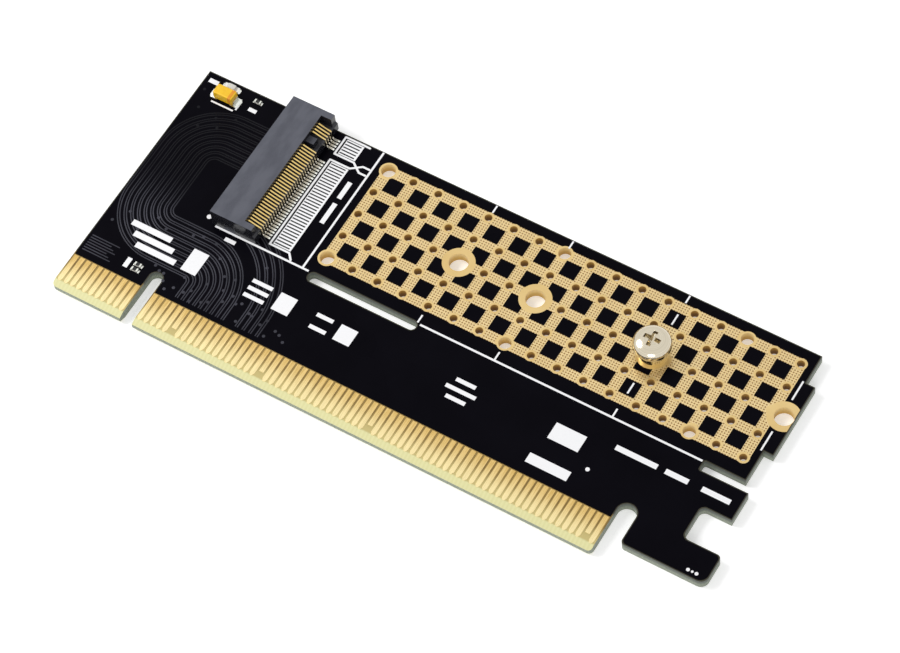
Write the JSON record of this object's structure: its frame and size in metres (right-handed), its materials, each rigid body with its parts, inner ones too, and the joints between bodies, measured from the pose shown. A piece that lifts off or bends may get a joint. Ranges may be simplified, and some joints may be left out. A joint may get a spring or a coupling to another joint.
{
  "type": "nvme adapter card",
  "caption": "Black passive card that plugs into a long expansion slot and carries an M-key module socket, a perforated gold heat field and a stand-off with its screw.",
  "frame": {"origin": "on the centre line of the key notch, at the inserted edge of the card, on its underside", "axes": "+X along the contact edge from the key notch towards the hook, +Y from the inserted edge towards the upper edge, +Z out of the component side"},
  "size_m": [0.0994, 0.0401, 0.0058],
  "materials": {
    "glass_epoxy": "satin",
    "solder_mask": "gloss",
    "gold_plating": "polished",
    "solder": "satin",
    "socket_resin": "satin",
    "contact_gold": "polished",
    "nickel_plate": "polished",
    "amber_resin": "satin",
    "orange_ink": "satin",
    "white_resin": "satin",
    "clear_resin": "gloss",
    "alumina": "matte",
    "dark_glaze": "satin",
    "white_ink": "matte"
  },
  "bodies": {
    "root": {"laminate": "glass_epoxy", "solder_mask_front": "solder_mask", "solder_mask_back": "solder_mask", "gold_field_front": "gold_plating", "gold_field_back": "gold_plating", "via_barrels": "gold_plating", "plated_hole_barrels": "gold_plating", "edge_contacts_front": "gold_plating", "edge_contacts_back": "gold_plating", "solder_lands": "solder", "socket_housing": "socket_resin", "socket_contacts_lower": "contact_gold", "socket_contacts_upper": "contact_gold", "socket_anchor_tabs": "solder", "standoff": "nickel_plate", "retaining_screw": "nickel_plate", "capacitor_body": "amber_resin", "capacitor_band": "orange_ink", "capacitor_terminals": "solder", "led_base": "white_resin", "led_lens": "clear_resin", "resistor_blocks": "alumina", "resistor_glaze": "dark_glaze", "resistor_caps": "solder", "legend_border": "white_ink", "legend_ticks": "white_ink", "legend_ladders": "white_ink", "legend_brackets": "white_ink", "legend_dots": "white_ink", "legend_marks": "white_ink"}
  },
  "joints": []
}
